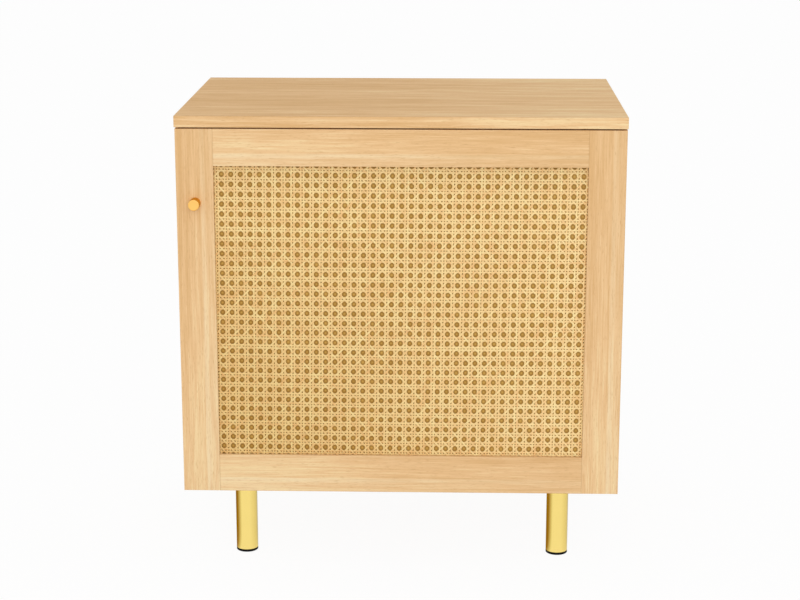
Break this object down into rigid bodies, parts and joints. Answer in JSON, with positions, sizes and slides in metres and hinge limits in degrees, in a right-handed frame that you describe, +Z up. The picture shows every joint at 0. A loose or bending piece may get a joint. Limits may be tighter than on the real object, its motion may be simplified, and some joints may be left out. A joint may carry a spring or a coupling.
{
  "type": "storage side table with door",
  "caption": "Side table with a cabinet behind one framed door of woven cane, a shelf inside, round metal legs and a small round knob.",
  "frame": {"origin": "on the floor, at the middle of the footprint, knob included", "axes": "+Z up, -Y is the front where the door is, +X is the hinged side of the door"},
  "size_m": [0.6, 0.418, 0.63],
  "materials": {
    "oak_board": "satin oak-faced board",
    "oak_frame": "satin oak",
    "panel_board": "plain brown board",
    "back_board": "oak-printed hardboard",
    "cane": "woven natural cane",
    "beech": "plain beech dowel",
    "brass": "satin brass",
    "black_plastic": "moulded",
    "white_plastic": "moulded",
    "clear_bumper": "soft clear pad",
    "magnet": "ferrite block",
    "nickel": "nickel-plated steel",
    "zinc": "zinc-plated steel"
  },
  "bodies": {
    "cabinet": {"top_panel": "oak_board", "side_panel_left": "oak_board", "side_panel_right": "oak_board", "bottom_panel": "oak_board", "back_panel": "back_board", "shelf": "oak_board", "shelf_pins": "zinc", "cam_locks": "zinc", "cam_bolts": "zinc", "carcass_dowels": "beech", "leg_tube_left_front": "brass", "leg_tube_left_back": "brass", "leg_tube_right_front": "brass", "leg_tube_right_back": "brass", "leg_foot_left_front": "black_plastic", "leg_foot_left_back": "black_plastic", "leg_foot_right_front": "black_plastic", "leg_foot_right_back": "black_plastic", "leg_plates": "zinc", "leg_nuts": "zinc", "leg_studs": "zinc", "leg_plate_screws": "zinc", "catch_housing": "white_plastic", "catch_magnet": "magnet", "catch_screws": "zinc", "door_bumpers": "clear_bumper", "hinge_mount_upper": "nickel", "hinge_mount_lower": "nickel", "hinge_arm_upper": "nickel", "hinge_arm_lower": "nickel", "hinge_arm_pins": "nickel", "hinge_mount_screws": "zinc", "hinge_arm_screws": "zinc"},
    "link_upper": {"hinge_link_upper": "nickel"},
    "link_lower": {"hinge_link_lower": "nickel"},
    "door": {"door_stile_left": "oak_frame", "door_stile_right": "oak_frame", "door_rail_top": "oak_frame", "door_rail_bottom": "oak_frame", "frame_dowels": "beech", "panel_backing": "panel_board", "cane_slant_rising": "cane", "cane_slant_falling": "cane", "cane_upright_pairs": "cane", "cane_level_pairs": "cane", "panel_bead_left": "oak_frame", "panel_bead_right": "oak_frame", "panel_bead_top": "oak_frame", "panel_bead_bottom": "oak_frame", "knob": "brass", "knob_screw": "zinc", "strike_plate": "zinc", "strike_screw": "zinc", "hinge_cup_upper": "nickel", "hinge_cup_lower": "nickel", "hinge_cup_pins": "nickel", "hinge_cup_screws": "zinc"}
  },
  "joints": [
    {"name": "hinge_link_upper_turn", "type": "hinge", "parent": "cabinet", "child": "link_upper", "pos_m": [0.2655, -0.1798, 0.523], "axis": [0, 0, -1], "range_deg": [0, 45]},
    {"name": "door_turn", "type": "hinge", "parent": "link_upper", "child": "door", "pos_m": [0.285, -0.1798, 0.523], "axis": [0, 0, 1], "range_deg": [0, 135]},
    {"name": "hinge_link_lower_turn", "type": "hinge", "parent": "cabinet", "child": "link_lower", "pos_m": [0.2655, -0.1798, 0.199], "axis": [0, 0, -1], "range_deg": [0, 45]}
  ],
  "couplings": [
    {"joint": "hinge_link_upper_turn", "follows": "door_turn", "ratio": 0.33333},
    {"joint": "hinge_link_lower_turn", "follows": "door_turn", "ratio": 0.33333}
  ]
}
